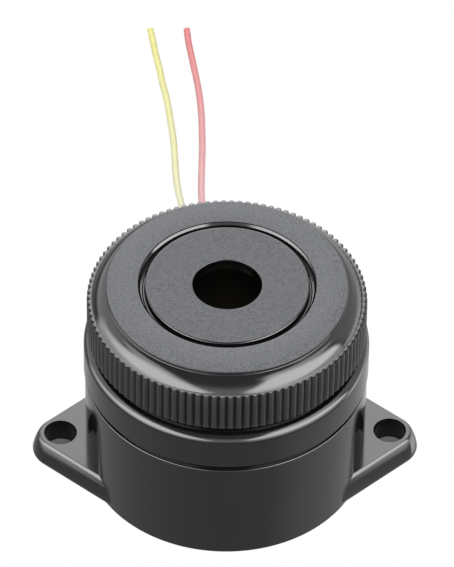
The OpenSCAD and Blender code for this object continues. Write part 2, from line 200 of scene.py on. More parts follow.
def sparked_abs(name, dull, bright):
    """Black ABS from a spark-eroded mould: matt, grey in the light, with craters that mirror less."""
    material, tree, place = start(name)
    grain = add(tree, "ShaderNodeTexNoise", {"Vector": place, "Scale": grains_of(crater_mm), "Detail": 2.0})
    crater = {"Value": grain.outputs["Fac"], "From Min": 0.3, "From Max": 0.7}
    rough = add(tree, "ShaderNodeMapRange", {**crater, "To Min": 0.46, "To Max": 0.64})
    shine = add(tree, "ShaderNodeMapRange", {**crater, "To Min": dull, "To Max": bright})
    bump = add(
        tree,
        "ShaderNodeBump",
        {"Height": grain.outputs["Fac"], "Strength": 0.6, "Distance": 0.08 * MM},
    )
    tint = add(
        tree,
        "ShaderNodeMix",
        {"Factor": grain.outputs["Fac"], "A": linear("#2a2b2d"), "B": linear("#3a3b3e")},
        data_type="RGBA",
    )
    close(
        tree,
        {
            "Base Color": tint.outputs["Result"],
            "Roughness": rough.outputs["Result"],
            "IOR": abs_ior,
            "Specular IOR Level": shine.outputs["Result"],
            "Specular Tint": linear("#f7f9ff"),
            "Normal": bump.outputs["Normal"],
        },
    )
    return material


gloss = smooth_abs("black_abs_polished", 0.1, 0.15)
satin = smooth_abs("black_abs_satin", 0.36, 0.42)
ring_matt = sparked_abs("black_abs_spark_eroded", 0.42, 0.98)
face_matt = sparked_abs("black_abs_fine_eroded", 0.32, 0.81)
print("finishes:", [material.name for material in (gloss, satin, ring_matt, face_matt)])

# %% [markdown]
# ## The leads
#
# Two thin PVC-covered wires leave the back wall, drop to the table and run away behind the buzzer.
# A curve with a round bevel is the natural form of a wire: its own line is the centre of the wire,
# and automatic handles keep the bends smooth. The points repeat the route of the solids.

# %% Routes of the leads, in millimetres
lead_d = 1.1 * MM
red_route = [
    (1.1, 21.2, 10.6), (1.1, 24, 10.6), (1.1, 26.5, 10.2), (1.1, 29, 9.1), (1, 31.5, 7.4), (0.8, 34, 5.4),
    (0.5, 36.5, 3.6), (0.1, 39, 2.2), (-0.4, 41.5, 1.2), (-1, 44, 0.8), (-1.6, 46.5, 0.6), (-2.1, 49, 0.6),
    (-2.5, 51.5, 0.6), (-2.7, 54, 0.6), (-2.7, 57, 0.6), (-2.6, 60, 0.6), (-2.5, 63, 0.6), (-2.4, 66, 0.6),
    (-2.4, 69, 0.6), (-2.4, 72, 0.6), (-2.5, 75, 0.6), (-2.7, 78, 0.6), (-3, 81, 0.6), (-3.4, 84, 0.6),
    (-3.8, 87, 0.6), (-4.2, 90, 0.6), (-4.5, 93.5, 0.6),
]
yellow_route = [
    (-1.1, 21.2, 10.6), (-1.1, 24, 10.6), (-1.1, 26.5, 10.2), (-1.2, 29, 9.1), (-1.4, 31.5, 7.4),
    (-1.7, 34, 5.4), (-2.2, 36.5, 3.6), (-2.8, 39, 2.2), (-3.4, 41.5, 1.2), (-4, 44, 0.8), (-4.6, 46.5, 0.6),
    (-5.2, 49, 0.6), (-5.7, 51.5, 0.6), (-6.1, 54, 0.6), (-6.5, 57, 0.6), (-6.7, 60, 0.6), (-6.8, 63, 0.6),
    (-6.9, 66, 0.6), (-7.1, 69, 0.6), (-7.4, 72, 0.6), (-7.7, 75, 0.6), (-8.1, 78, 0.6), (-8.6, 81, 0.6),
    (-9, 84, 0.6), (-9.5, 87, 0.6), (-9.9, 90, 0.6), (-10.4, 93.5, 0.6),
]
print("points on the routes:", len(red_route), len(yellow_route))

# %% Leads
# The leads fade to paler colours towards the housing. This is painted light, a wash that stands in for the
# glare on them there.
painted_glare_start = 93.5 * MM
painted_glare_end = 40 * MM
pvc_ior = 1.53
pvc_soft = 0.3 * MM
drag_mm = 0.8


def pvc(name, deep, pale):
    """Extruded PVC: a soft sheen, and painted paler towards the housing: a painted wash of light that stands
    in for the glare on the wires there.
    """
    material, tree, place = start(name)
    along = add(tree, "ShaderNodeSeparateXYZ", {"Vector": place})
    painted_glare_mix = add(
        tree,
        "ShaderNodeMapRange",
        {"Value": along.outputs["Y"], "From Min": painted_glare_start, "From Max": painted_glare_end},
    )
    tint = add(
        tree,
        "ShaderNodeMix",
        {"Factor": painted_glare_mix.outputs["Result"], "A": linear(deep), "B": linear(pale)},
        data_type="RGBA",
    )
    drag = add(tree, "ShaderNodeTexNoise", {"Vector": place, "Scale": grains_of(drag_mm), "Detail": 2.0})
    rough = add(tree, "ShaderNodeMapRange", {"Value": drag.outputs["Fac"], "To Min": 0.35, "To Max": 0.5})
    bump = add(
        tree,
        "ShaderNodeBump",
        {"Height": drag.outputs["Fac"], "Strength": 0.1, "Distance": 0.02 * MM},
    )
    close(
        tree,
        {
            "Base Color": tint.outputs["Result"],
            "Roughness": rough.outputs["Result"],
            "IOR": pvc_ior,
            "Subsurface Weight": 0.15,
            "Subsurface Radius": (pvc_soft, pvc_soft, pvc_soft),
            "Normal": bump.outputs["Normal"],
        },
    )
    return material


def lead(name, route, node, material):
    """A free wire along a route, in place of its solid."""
    points = [Vector(p) * MM for p in route]
    curve = bpy.data.curves.new(name, "CURVE")
    curve.dimensions = "3D"
    curve.bevel_depth = lead_d / 2
    curve.bevel_resolution = 4
    curve.use_fill_caps = True
    spline = curve.splines.new("BEZIER")
    spline.bezier_points.add(len(points) - 1)
    for knot, point in zip(spline.bezier_points, points):
        knot.co = point
        knot.handle_left_type = "AUTO"
        knot.handle_right_type = "AUTO"
    curve.materials.append(material)
    wire = bpy.data.objects.new(name, curve)
    scene.collection.objects.link(wire)
    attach(wire, "housing")
    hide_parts(node)


red_pvc = pvc("pvc_red", "#e27c7c", "#e5bbbf")
yellow_pvc = pvc("pvc_yellow", "#efeb8c", "#e6e8ce")
lead("red_lead", red_route, "lead_red", red_pvc)
lead("yellow_lead", yellow_route, "lead_yellow", yellow_pvc)

# %% [markdown]
# ## Turned sections
#
# Every round moulding here is a section turned about the upright axis. The section is a short list of
# corners, each with its own rounding, and a function puts an arc at each corner. A Screw modifier could
# turn it, but building the rows of points directly lets each face know which row it came from, and so
# which finish it has.

# %% Section and lathe helpers
weld = 0.5e-6
round_steps = 288


def rounded(corners, closed=True, arc_steps=5, fine=0.1):
    """Points of a section in metres, from (radius, height, rounding) corners in millimetres.

    A rounding under the fine size is too small to need more than two steps."""
    points = []
    count = len(corners)
    for i, (r, z, rounding) in enumerate(corners):
        here = Vector((r, z)) * MM
        inner = closed or 0 < i < count - 1
        if not rounding or not inner:
            points.append(here)
            continue
        back = (Vector(corners[i - 1][:2]) * MM - here).normalized()
        ahead = (Vector(corners[(i + 1) % count][:2]) * MM - here).normalized()
        half = back.angle(ahead) / 2
        reach = rounding * MM / math.tan(half)
        middle = here + (back + ahead).normalized() * (rounding * MM / math.sin(half))
        first = here + back * reach - middle
        last = here + ahead * reach - middle
        steps = arc_steps if rounding >= fine else 2
        for k in range(steps + 1):
            points.append(middle + first.slerp(last, k / steps).normalized() * rounding * MM)
    return points


def skin(name, verts, faces, finishes, face_finish=None):
    """A mesh object with one or more finishes."""
    mesh = bpy.data.meshes.new(name)
    mesh.from_pydata(verts, [], faces)
    for material in finishes:
        mesh.materials.append(material)
    if face_finish:
        mesh.polygons.foreach_set("material_index", face_finish)
    piece = bpy.data.objects.new(name, mesh)
    scene.collection.objects.link(piece)
    return piece


def lathe(name, section, angles, finishes, row_finish=None, closed=True):
    """Turn a section about the upright axis, with one column of points at each angle."""
    rows, columns = len(section), len(angles)
    verts = [(p.x * math.cos(a), p.x * math.sin(a), p.y) for a in angles for p in section]
    faces, marks = [], []
    for c in range(columns):
        here, there = c * rows, (c + 1) % columns * rows
        for r in range(rows if closed else rows - 1):
            n = (r + 1) % rows
            faces.append((here + r, there + r, there + n, here + n))
            marks.append(row_finish(r) if row_finish else 0)
    return skin(name, verts, faces, finishes, marks)


def tidy_mesh(piece, sharp_deg=35):
    """Merge doubles, turn all faces outwards, and shade smooth but for the true edges."""
    shape = bmesh.new()
    shape.from_mesh(piece.data)
    bmesh.ops.remove_doubles(shape, verts=shape.verts, dist=weld)
    bmesh.ops.recalc_face_normals(shape, faces=shape.faces)
    shape.to_mesh(piece.data)
    shape.free()
    piece.data.shade_smooth()
    piece.data.set_sharp_from_angle(angle=math.radians(sharp_deg))
    weigh = piece.modifiers.new("even_normals", "WEIGHTED_NORMAL")
    weigh.keep_sharp = True


def whole_turn(count):
    """Angles of a whole turn in equal steps."""
    return [2 * math.pi * i / count for i in range(count)]


print("degrees from column to column of a large moulding:", 360 / round_steps)

# %% [markdown]
# ## The ring nut
#
# The nut is turned by hand, so it has ribs round it for the fingers. It is moulded in one piece: a lip
# round its mouth, a matt top, a small step with a narrow land, a polished shoulder that bulges a
# little, a flat ledge, and the ribs. The body is one lathe. The knurl is a strip with a single rib,
# repeated round the body by Geometry Nodes: points in a stack at the origin, each with its own turn,
# carry one strip each, and the strips are merged with the body along shared rows of points. So the nut
# stays one closed skin, and the number of ribs is one input.

# %% Sizes of the ring nut, in millimetres
nut_low, nut_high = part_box("ring_nut")
nut_r = nut_high.x / MM
nut_z = nut_low.z / MM
nut_top = nut_high.z / MM
nut_wall = 8.2
bore_r = nut_r - nut_wall
mouth_w = 0.55
mouth_r = bore_r + mouth_w
lip_h = 0.18
bevel = 0.3
groove_depth = 1.3
groove_z = nut_top - groove_depth
skirt_depth = 1.4
skirt_r = nut_r - skirt_depth
skirt_h = 1.2
skirt_edge = 0.09
top_fall = 0.45
top_edge_z = nut_top - top_fall
shoulder_w = 2.9
top_r = nut_r - shoulder_w
step_h = 0.6
step_z = top_edge_z - step_h
land_w = 0.5
land_r = top_r + land_w
land_fall = 0.15
land_z = step_z - land_fall
land_edge = 0.6
ledge_w = 0.75
ledge_r = nut_r - ledge_w
shoulder_h = 2.5
ledge_z = top_edge_z - shoulder_h
shoulder_bulge = 0.17
shoulder_steps = 16
bevel_foot_edge = 0.05
bevel_top_edge = 0.04
lip_edge = 0.06
top_edge = 0.1
step_edge = 0.12
ledge_edge = 0.08
print("nut: radius", round(nut_r, 2), "height", round(nut_top - nut_z, 2))

# %% Sizes of its ribs, in millimetres
rib_count = 106
rib_depth = 0.5
rib_foot = 0.3
rib_edge = 0.1
rib_corner = 0.3 * rib_edge
rib_flank = math.radians(50)
rib_z = nut_z + skirt_h
rib_turn = 0.13
strip_depth = 0.12
strip_r = nut_r - rib_depth - strip_depth
half_shares = [0, 0.1, 0.2, 0.25, 0.3, 0.37, 0.44]
rib_columns = half_shares + [0.5] + [1 - share for share in half_shares[:0:-1]]
pitch = 2 * math.pi / rib_count
print("from rib to rib in mm:", round(pitch * nut_r, 2), "columns in a rib:", len(rib_columns))


# %% The shoulder's arc
def arc_points(first, last, bulge, steps):
    """Points between two ends of an arc that bulges out and up from its chord."""
    chord = last - first
    half = chord.length / 2
    radius = (half**2 / bulge + bulge) / 2
    out = Vector((-chord.y, chord.x)).normalized()
    middle = (first + last) / 2 - out * (radius - bulge)
    turn = 2 * math.asin(half / radius)
    ray = first - middle
    points = []
    for k in range(1, steps):
        a = -turn * k / steps
        x = ray.x * math.cos(a) - ray.y * math.sin(a)
        y = ray.x * math.sin(a) + ray.y * math.cos(a)
        points.append(middle + Vector((x, y)))
    return points


shoulder = arc_points(
    Vector((land_r, land_z)), Vector((ledge_r, ledge_z)), shoulder_bulge, shoulder_steps
)
print("shoulder: bulge in mm:", shoulder_bulge, "points", len(shoulder))

# %% The turned body of the nut
nut_angles = [pitch * (i + share + rib_turn) for i in range(rib_count) for share in rib_columns]
nut_section = rounded(
    [
        (strip_r, rib_z, 0),
        (skirt_r, rib_z, 0),
        (skirt_r, nut_z, skirt_edge),
        (bore_r, nut_z, skirt_edge),
        (bore_r, groove_z, 0),
        (mouth_r - bevel, groove_z, 0),
        (mouth_r - bevel, nut_top - lip_h - bevel, bevel_foot_edge),
        (mouth_r, nut_top - lip_h, bevel_top_edge),
        (mouth_r, nut_top, lip_edge),
        (top_r, top_edge_z, top_edge),
        (top_r, step_z, step_edge),
        (land_r, land_z, land_edge),
        *[(p.x, p.y, 0) for p in shoulder],
        (ledge_r, ledge_z, ledge_edge),
        (strip_r, ledge_z, 0),
    ],
    closed=False,
)
top_face = max(range(len(nut_section) - 1), key=lambda i: nut_section[i + 1].x - nut_section[i].x)
nut_body = lathe("knurled_ring", nut_section, nut_angles, [gloss], closed=False)
is_matt = nut_body.data.attributes.new("matt", "BOOLEAN", "FACE")
nut_rows = len(nut_section) - 1
is_matt.data.foreach_set("value", [i % nut_rows == top_face for i in range(len(nut_body.data.polygons))])
print("rows in the nut's section:", nut_rows, "matt row:", top_face)


# %% One rib, on a strip as wide as its pitch
def rib_height(share):
    """Height of a rib, as a share of its depth, at a share of its pitch: two flanks and a round crest."""
    half = pitch * nut_r / 2
    across = half * (1 - abs(2 * share - 1))
    slope = math.tan(rib_flank)
    crest = (1 - math.cos(rib_flank)) / math.sin(rib_flank)
    flank_end = (rib_depth - half * crest) / (slope - crest)
    if across < flank_end:
        return across * slope / rib_depth
    crest_r = (half - flank_end) / math.sin(rib_flank)
    return 1 - (crest_r - math.sqrt(crest_r**2 - (half - across) ** 2)) / rib_depth


def rib_section(height):
    """Points of the strip down one column, where the rib stands at a share of its full height."""
    r = nut_r - rib_depth * (1 - height)
    bevel_r = nut_r - rib_foot
    foot_z = rib_z + max(0.0, r - bevel_r)
    return [
        Vector(p) * MM
        for p in (
            (strip_r, ledge_z),
            (r - rib_edge, ledge_z),
            (r - rib_corner, ledge_z - rib_corner),
            (r, ledge_z - rib_edge),
            (r, (ledge_z + foot_z) / 2),
            (r, foot_z + rib_edge),
            (r - rib_corner, foot_z),
            (min(r, bevel_r) - rib_corner, rib_z),
            (strip_r, rib_z),
        )
    ]


rib_sections = [rib_section(rib_height(share)) for share in rib_columns + [1]]
rib_turns = [pitch * (share + rib_turn) for share in rib_columns + [1]]
per_column = len(rib_sections[0])
rib_verts = [
    (p.x * math.cos(a), p.x * math.sin(a), p.y)
    for section, a in zip(rib_sections, rib_turns)
    for p in section
]
rib_faces = [
    (
        c * per_column + r,
        c * per_column + r + 1,
        (c + 1) * per_column + r + 1,
        (c + 1) * per_column + r,
    )
    for c in range(len(rib_columns))
    for r in range(per_column - 1)
]
rib = skin("one_rib", rib_verts, rib_faces, [gloss])
is_rib = rib.data.attributes.new("ribbed", "BOOLEAN", "FACE")
polished_rows = 3
is_rib.data.foreach_set("value", [i % (per_column - 1) >= polished_rows for i in range(len(rib_faces))])
print("faces in one rib:", len(rib_faces))


# %% Geometry Nodes: repeat the rib round the body
def knurl_tree():
    """Joins a body with copies of a rib turned about the upright axis, and gives both their finishes."""
    tree = bpy.data.node_groups.new("knurl", "GeometryNodeTree")
    face = tree.interface
    for name, kind in (
        ("Body", "NodeSocketGeometry"),
        ("Rib", "NodeSocketObject"),
        ("Ribs", "NodeSocketInt"),
        ("Weld", "NodeSocketFloat"),
        ("Polished", "NodeSocketMaterial"),
        ("Satin", "NodeSocketMaterial"),
        ("Matt", "NodeSocketMaterial"),
    ):
        face.new_socket(name, in_out="INPUT", socket_type=kind)
    face.new_socket("Nut", in_out="OUTPUT", socket_type="NodeSocketGeometry")
    given = add(tree, "NodeGroupInput").outputs
    one_rib = add(tree, "GeometryNodeObjectInfo", {"Object": given["Rib"]}, transform_space="ORIGINAL")
    stack = add(tree, "GeometryNodeMeshLine", {"Count": given["Ribs"], "Offset": (0, 0, 0)})
    index = add(tree, "GeometryNodeInputIndex").outputs["Index"]
    share = add(tree, "ShaderNodeMath", {0: index, 1: given["Ribs"]}, operation="DIVIDE")
    turn = add(tree, "ShaderNodeMath", {0: share.outputs[0], 1: 2 * math.pi}, operation="MULTIPLY")
    euler = add(tree, "ShaderNodeCombineXYZ", {"Z": turn.outputs[0]})
    rotation = add(tree, "FunctionNodeEulerToRotation", {"Euler": euler.outputs[0]})
    copies = add(
        tree,
        "GeometryNodeInstanceOnPoints",
        {
            "Points": stack.outputs["Mesh"],
            "Instance": one_rib.outputs["Geometry"],
            "Rotation": rotation.outputs["Rotation"],
        },
    )
    joined = add(tree, "GeometryNodeJoinGeometry")
    tree.links.new(given["Body"], joined.inputs[0])
    tree.links.new(copies.outputs["Instances"], joined.inputs[0])
    real = add(tree, "GeometryNodeRealizeInstances", {"Geometry": joined.outputs["Geometry"]})
    welded = add(
        tree,
        "GeometryNodeMergeByDistance",
        {"Geometry": real.outputs["Geometry"], "Distance": given["Weld"]},
    )
    dressed = add(
        tree,
        "GeometryNodeSetMaterial",
        {"Geometry": welded.outputs["Geometry"], "Material": given["Polished"]},
    )
    for attribute, finish in (("ribbed", "Satin"), ("matt", "Matt")):
        where = add(tree, "GeometryNodeInputNamedAttribute", {"Name": attribute}, data_type="BOOLEAN")
        dressed = add(
            tree,
            "GeometryNodeSetMaterial",
            {
                "Geometry": dressed.outputs["Geometry"],
                "Selection": where.outputs["Attribute"],
                "Material": given[finish],
            },
        )
    add(tree, "NodeGroupOutput", {"Nut": dressed.outputs["Geometry"]})
    return tree


def apply_tree(piece, tree, values):
    """Give a piece a Geometry Nodes tree with these inputs, and keep the result as a plain mesh."""
    modifier = piece.modifiers.new(tree.name, "NODES")
    modifier.node_group = tree
    for item in tree.interface.items_tree:
        if item.in_out == "INPUT" and item.name in values:
            modifier[item.identifier] = values[item.name]
    graph = bpy.context.evaluated_depsgraph_get()
    made = bpy.data.meshes.new_from_object(piece.evaluated_get(graph), depsgraph=graph)
    piece.modifiers.remove(modifier)
    piece.data = made


finishes = {"Polished": gloss, "Satin": satin, "Matt": ring_matt}
apply_tree(nut_body, knurl_tree(), {"Rib": rib, "Ribs": rib_count, "Weld": weld, **finishes})
bpy.data.objects.remove(rib)
for mark in ("matt", "ribbed"):
    nut_body.data.attributes.remove(nut_body.data.attributes[mark])
tidy_mesh(nut_body)
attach(nut_body, "ring")
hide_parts("ring_nut")
nut_triangles = sum(len(face.vertices) - 2 for face in nut_body.data.polygons)
print("nut: triangles", nut_triangles, "finishes", [m.name for m in nut_body.data.materials])

# %% [markdown]
# ## The sounder case
#
# The case is one moulding: the collar that shows under the nut, the neck inside the nut, and the matt
# front face with the sound hole. Its whole section is turned at once, with the inner seat that holds
# the diaphragm. Only the front face has the spark-eroded finish.

# %% Sizes of the sounder case, in millimetres
case_low, case_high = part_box("sounder_case")
base_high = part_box("base_housing")[1]
seat_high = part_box("brass_diaphragm")[1]
base_r = base_high.y / MM
base_h = 17.6
seam_h = 1.05
seam_depth = 0.7
seam_r = base_r - seam_depth
collar_r = case_high.x / MM
collar_z = base_h + seam_h
collar_h = 6.05
collar_top = collar_z + collar_h
collar_edge = 1.3
nut_gap = 0.1
thread_r = bore_r - nut_gap
face_z = case_high.z / MM
face_step = 0.3
face_r = thread_r - face_step
face_h = 1.2
face_foot_z = face_z - face_h
face_edge = 0.3
hole_r = 10.3 / 2
neck_wall = 2.4
chamber_r = thread_r - neck_wall
front_t = 2
chamber_top = face_z - front_t
print("case: collar radius", round(collar_r, 2), "front face at", round(face_z, 2))

# %% Sizes of its inside, in millimetres
plate_t = 2.95
plate_z = collar_top - plate_t
brass_top = seat_high.z / MM
seat_gap = 0.2
seat_r = seat_high.x / MM + seat_gap
seat_h = 1.8
seat_z = brass_top - seat_h
seat_wall = 1.4
nodal_wall = 1.2
spigot_inset = 2.15
spigot_r = base_r - spigot_inset
spigot_z = case_low.z / MM
case_wall = 2
moulded_edge = 0.1
crisp_edge = 0.05
rim_edge = 0.12
eased_edge = 0.2
print("case: spigot radius", round(spigot_r, 2), "seat radius", round(seat_r, 2))

# %% Sounder case
case_section = rounded(
    [
        (hole_r, chamber_top, moulded_edge),
        (hole_r, face_z, rim_edge),
        (face_r, face_z, face_edge),
        (face_r, face_foot_z, crisp_edge),
        (thread_r, face_foot_z, moulded_edge),
        (thread_r, collar_top, crisp_edge),
        (collar_r, collar_top, collar_edge),
        (collar_r, collar_z, rim_edge),
        (seam_r, collar_z, crisp_edge),
        (seam_r, base_h, crisp_edge),
        (spigot_r, base_h, 0),
        (spigot_r, spigot_z, eased_edge),
        (spigot_r - case_wall, spigot_z, eased_edge),
        (spigot_r - case_wall, plate_z, moulded_edge),
        (seat_r + seat_wall, plate_z, moulded_edge),
        (seat_r + seat_wall, seat_z, moulded_edge),
        (seat_r, seat_z, moulded_edge),
        (seat_r, plate_z, moulded_edge),
        (chamber_r + nodal_wall, plate_z, moulded_edge),
        (chamber_r + nodal_wall, brass_top, moulded_edge),
        (chamber_r, brass_top, moulded_edge),
        (chamber_r, chamber_top, eased_edge),
    ]
)
level = 1e-7
face_rows = [
    i
    for i, (a, b) in enumerate(zip(case_section, case_section[1:]))
    if abs(a.y - face_z * MM) < level and abs(b.y - face_z * MM) < level
]
case = lathe(
    "sounder_body",
    case_section,
    whole_turn(round_steps),
    [gloss, face_matt],
    lambda r: int(r in face_rows),
)
tidy_mesh(case)
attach(case, "housing")
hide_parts("sounder_case")
print("case: faces", len(case.data.polygons), "matt rows", face_rows)

# %% [markdown]
# ## The base
#
# The base is a turned cup with two ears. An ear is a round tip with two straight sides that run into
# the cup. Its flank leans in on a large arc, so that it leaves the mould, and turns over a small arc that
# meets the flat top in a crease. It is built as rows of the same outline, each drawn in a little
# further, which gives both arcs their true form. Cup, ears and posts are then united, and the holes
# cut, with exact booleans, so the base is one closed skin.

# %% Sizes of the base, in millimetres
floor_t = 2
floor_edge = 0.4
base_wall = 2.05
base_rim_edge = 0.18
ear_reach = 3.8
ear_x = base_r + ear_reach
ear_tip_r = 4.25
ear_h = 4
ear_foot = 0.9
ear_edge = 1.2
crease_tilt = math.radians(32)
edge_tilt = math.radians(64)
flank_tilt = math.radians(82)
ear_hole_r = 2.5
ear_inset = 0.7
ear_slant = math.asin((base_r - ear_inset - ear_tip_r) / ear_x)
over_ear = 0.4
lead_hole_r = 0.65
post_r = 1.8
post_foot = 0.5
board_gap = 0.85
post_ring_share = 0.82
post_ring = (base_r - base_wall - board_gap) * post_ring_share
board_z = 6.4
board_top = 8
stake_r = 0.8
stake_head_r = 1.3
stake_head_h = 0.7
stake_head_edge = 0.3
hole_steps = 64
small_steps = 32
overrun = 1
hole_depth = 3
print("ears: hole to hole in mm:", round(2 * ear_x, 2))


# %% Ear, made as rows of one outline
def ear_outline(inset, tip_steps=24):
    """Outline of an ear, drawn in by an inset, from its root inside the cup round the tip and back."""
    r = ear_tip_r - inset
    turn = math.pi / 2 - ear_slant
    side = ear_x * math.cos(ear_slant)
    arc = [-turn + 2 * turn * k / tip_steps for k in range(tip_steps + 1)]
    tip = [(ear_x + r * math.cos(a), r * math.sin(a)) for a in arc]
    along = (-math.cos(math.pi / 2 - turn), math.sin(math.pi / 2 - turn))
    root_low = (tip[0][0] + side * along[0], tip[0][1] - side * along[1])
    root_high = (root_low[0], -root_low[1])
    return [root_low] + tip + [root_high]


def ear(side, steps=8):
    """Closed skin of one ear. Side is 1 on the right and -1 on the left."""
    quarter = [math.pi / 2 * k / steps for k in range(steps + 1)]
    levels = [(ear_foot * (1 - math.sin(a)), ear_foot * (1 - math.cos(a))) for a in quarter]
    edge_h = ear_edge * (math.cos(crease_tilt) - math.cos(edge_tilt))
    flank_r = (ear_h - ear_foot - edge_h) / (math.cos(edge_tilt) - math.cos(flank_tilt))
    for radius, low, high in ((flank_r, flank_tilt, edge_tilt), (ear_edge, edge_tilt, crease_tilt)):
        inset, z = levels[-1]
        tilts = [low + (high - low) * k / steps for k in range(1, steps + 1)]
        levels += [
            (inset + radius * (math.sin(low) - math.sin(t)), z + radius * (math.cos(t) - math.cos(low)))
            for t in tilts
        ]
    outlines = [[(x * side * MM, y * MM, z * MM) for x, y in ear_outline(inset)] for inset, z in levels]
    count = len(outlines[0])
    verts = [p for outline in outlines for p in outline]
    faces = [
        (r * count + i, r * count + (i + 1) % count, (r + 1) * count + (i + 1) % count, (r + 1) * count + i)
        for r in range(len(levels) - 1)
        for i in range(count)
    ]
    faces.append(tuple(range(count)))
    faces.append(tuple((len(levels) - 1) * count + i for i in range(count)))
    return skin("ear", verts, faces, [gloss])


print("points in an ear's outline:", len(ear_outline(0)))


# %% Cup, posts and cutters
def turned(name, corners, count, place=(0, 0)):
    """A turned piece round an upright axis at a place in plan. Its section starts and ends on the axis."""
    piece = lathe(name, rounded(corners, closed=False), whole_turn(count), [gloss], closed=False)
    piece.data.transform(Matrix.Translation(Vector((place[0], place[1], 0)) * MM))
    return piece


def drill(name, radius, low, high, count, place=(0, 0)):
    """An upright cylinder to cut a hole with."""
    return turned(name, [(0, low, 0), (radius, low, 0), (radius, high, 0), (0, high, 0)], count, place)


cup = turned(
    "base_cup",
    [
        (0, 0, 0),
        (base_r, 0, moulded_edge),
        (base_r, ear_h + over_ear, 0),
        (base_r, base_h, base_rim_edge),
        (base_r - base_wall, base_h, moulded_edge),
        (base_r - base_wall, floor_t, floor_edge),
        (0, floor_t, 0),
    ],
    round_steps,
)
post_angles = [math.radians(30 + 120 * i) for i in range(3)]
posts = [
    turned(
        "post",
        [
            (0, floor_t - post_foot, 0),
            (post_r, floor_t - post_foot, 0),
            (post_r, board_z, moulded_edge),
            (stake_r, board_z, 0),
            (stake_r, board_top, 0),
            (stake_head_r, board_top, moulded_edge),
            (stake_head_r, board_top + stake_head_h, stake_head_edge),
            (0, board_top + stake_head_h, 0),
        ],
        small_steps,
        (post_ring * math.cos(a), post_ring * math.sin(a)),
    )
    for a in post_angles
]
cutters = [
    drill("ear_hole", ear_hole_r, -overrun, ear_h + overrun, hole_steps, (side * ear_x, 0))
    for side in (-1, 1)
]
for route in (red_route, yellow_route):
    cutter = drill("lead_hole", lead_hole_r, -hole_depth, overrun, small_steps)
    lean_back = Matrix.Rotation(-math.pi / 2, 4, "X")
    cutter.data.transform(Matrix.Translation(Vector(route[0]) * MM) @ lean_back)
    cutters.append(cutter)
print("posts:", len(posts), "cutters:", [cutter.name for cutter in cutters])


# %% Unite and cut
def combine(piece, others, operation):
    """Unite a piece with others, or cut them out of it, and remove them."""
    for other in others:
        tidy_mesh(other)
        other.modifiers.clear()
        modifier = piece.modifiers.new(operation, "BOOLEAN")
        modifier.operation = operation
        modifier.object = other
        modifier.solver = "EXACT"
    graph = bpy.context.evaluated_depsgraph_get()
    made = bpy.data.meshes.new_from_object(piece.evaluated_get(graph), depsgraph=graph)
    piece.modifiers.clear()
    piece.data = made
    for other in others:
        bpy.data.objects.remove(other)


tidy_mesh(cup)
cup.modifiers.clear()
combine(cup, [ear(1), ear(-1)] + posts, "UNION")
combine(cup, cutters, "DIFFERENCE")
tidy_mesh(cup)
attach(cup, "housing")
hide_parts("base_housing")
print("base: faces", len(cup.data.polygons))

# %% [markdown]
# ## The hidden parts
#
# The diaphragm, the board and its parts are closed in, but they are pieces of the object and are seen
# as soon as someone takes it apart. Each keeps its solid and gets a material of its own kind: rolled
# brass, fired ceramic, silicone, glass-fibre board, ferrite, enamelled copper, epoxy and solder.

# %% Materials of the hidden parts
rough_spread = 0.06


def plain(name, dark, light, grain_mm, rough, bump_mm=0.01, stretch=(1, 1, 1), metallic=0.0):
    """A surface of two close shades with a grain of a real size, stretched along the way it was made."""
    material, tree, place = start(name)
    laid = add(tree, "ShaderNodeMapping", {"Vector": place, "Scale": stretch})
    grain = add(
        tree,
        "ShaderNodeTexNoise",
        {"Vector": laid.outputs["Vector"], "Scale": grains_of(grain_mm), "Detail": 3.0},
    )
    tint = add(
        tree,
        "ShaderNodeMix",
        {"Factor": grain.outputs["Fac"], "A": linear(dark), "B": linear(light)},
        data_type="RGBA",
    )
    spread = add(
        tree,
        "ShaderNodeMapRange",
        {"Value": grain.outputs["Fac"], "To Min": rough - rough_spread, "To Max": rough + rough_spread},
    )
    bump = add(
        tree,
        "ShaderNodeBump",
        {"Height": grain.outputs["Fac"], "Strength": 0.3, "Distance": bump_mm * MM},
    )
    close(
        tree,
        {
            "Base Color": tint.outputs["Result"],
            "Roughness": spread.outputs["Result"],
            "Metallic": metallic,
            "Normal": bump.outputs["Normal"],
        },
    )
    return material


hidden_finishes = {
    "brass_diaphragm": plain("brass_rolled", "#a8966c", "#c9b88e", 0.3, 0.3, stretch=(1, 8, 1), metallic=1.0),
    "ceramic_disc": plain("piezo_ceramic_silvered", "#cfc9b8", "#e4dfd0", 0.4, 0.45),
    "silicone_bead": plain("silicone_cured", "#d6d6d0", "#ecece6", 0.8, 0.35),
    "circuit_board": plain("glass_epoxy_board", "#1f5a38", "#2f7a4c", 0.5, 0.4, stretch=(1, 1, 4)),
    "choke_core": plain("ferrite_sintered", "#2b2b2e", "#414145", 0.2, 0.6),
    "choke_winding": plain("copper_enamelled", "#8a4318", "#c5702e", 0.25, 0.3, 0.05, (0.1, 0.1, 4), 1.0),
    "transistor": plain("epoxy_moulded", "#141416", "#222225", 0.3, 0.5),
    "capacitor": plain("shrink_sleeve", "#1c2b52", "#2b3f70", 0.8, 0.3),
    "diode": plain("epoxy_moulded_diode", "#161618", "#242427", 0.3, 0.45),
    "resistors": plain("resistor_lacquer", "#b58d5c", "#d4b184", 0.6, 0.35),
    "solder_joints": plain("solder_bright", "#9fa2a6", "#d2d4d7", 0.4, 0.28, metallic=1.0),
    "piezo_solder_dots": plain("solder_dots", "#9fa2a6", "#d2d4d7", 0.4, 0.3, metallic=1.0),
    "piezo_wire_centre": plain("pvc_red_thin", "#b5332c", "#cf4a40", 0.4, 0.4),
    "piezo_wire_rim": plain("pvc_black_thin", "#1b1b1d", "#2c2c2f", 0.4, 0.4),
    "lead_tail_red": red_pvc,
    "lead_tail_yellow": yellow_pvc,
}
for name, material in hidden_finishes.items():
    nodes[name].data.materials.clear()
    nodes[name].data.materials.append(material)
print("hidden parts with materials:", len(hidden_finishes))
